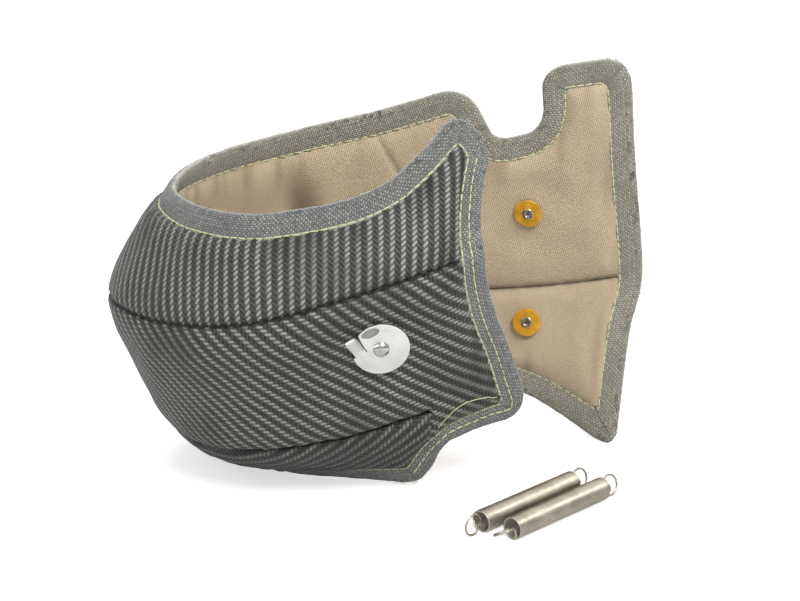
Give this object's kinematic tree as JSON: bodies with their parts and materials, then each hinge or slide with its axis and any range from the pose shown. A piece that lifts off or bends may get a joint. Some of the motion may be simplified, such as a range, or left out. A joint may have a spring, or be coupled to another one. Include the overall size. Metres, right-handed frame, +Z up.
{
  "type": "turbo heat blanket",
  "caption": "Padded C-shaped wrap for a turbine housing, with a carbon-look outer cover, tan woven lining, bound edges, hook washers and loose closing springs.",
  "frame": {"origin": "on the surface that the part stands on, under the middle of its bounding box", "axes": "+Z up, +X towards the open ends of the wrap, +Y from the front wall with its hook washer to the rear wall"},
  "size_m": [0.221, 0.158, 0.1603],
  "materials": {
    "cover_cloth": "satin twill",
    "insulation_mat": "matte needled mat",
    "lining_cloth": "matte woven",
    "binding_tape": "matte woven tape",
    "hook_steel": "bright stainless",
    "inner_washer": "yellow passivated",
    "spring_steel": "warm grey wire"
  },
  "bodies": {
    "root": {"cover_upper": "cover_cloth", "cover_side": "cover_cloth", "cover_lower": "cover_cloth", "mat_upper": "insulation_mat", "mat_side": "insulation_mat", "mat_lower": "insulation_mat", "lining_upper": "lining_cloth", "lining_side": "lining_cloth", "lining_lower": "lining_cloth", "binding_front": "binding_tape", "binding_bottom": "binding_tape", "binding_rear": "binding_tape", "binding_top": "binding_tape", "hook_disc_front": "hook_steel", "hook_disc_rear_upper": "hook_steel", "hook_disc_rear_lower": "hook_steel", "rivet_front": "hook_steel", "rivet_rear_upper": "hook_steel", "rivet_rear_lower": "hook_steel", "inner_washer_front": "inner_washer", "inner_washer_rear_upper": "inner_washer", "inner_washer_rear_lower": "inner_washer", "spring_front": "spring_steel", "spring_rear": "spring_steel"}
  },
  "joints": []
}
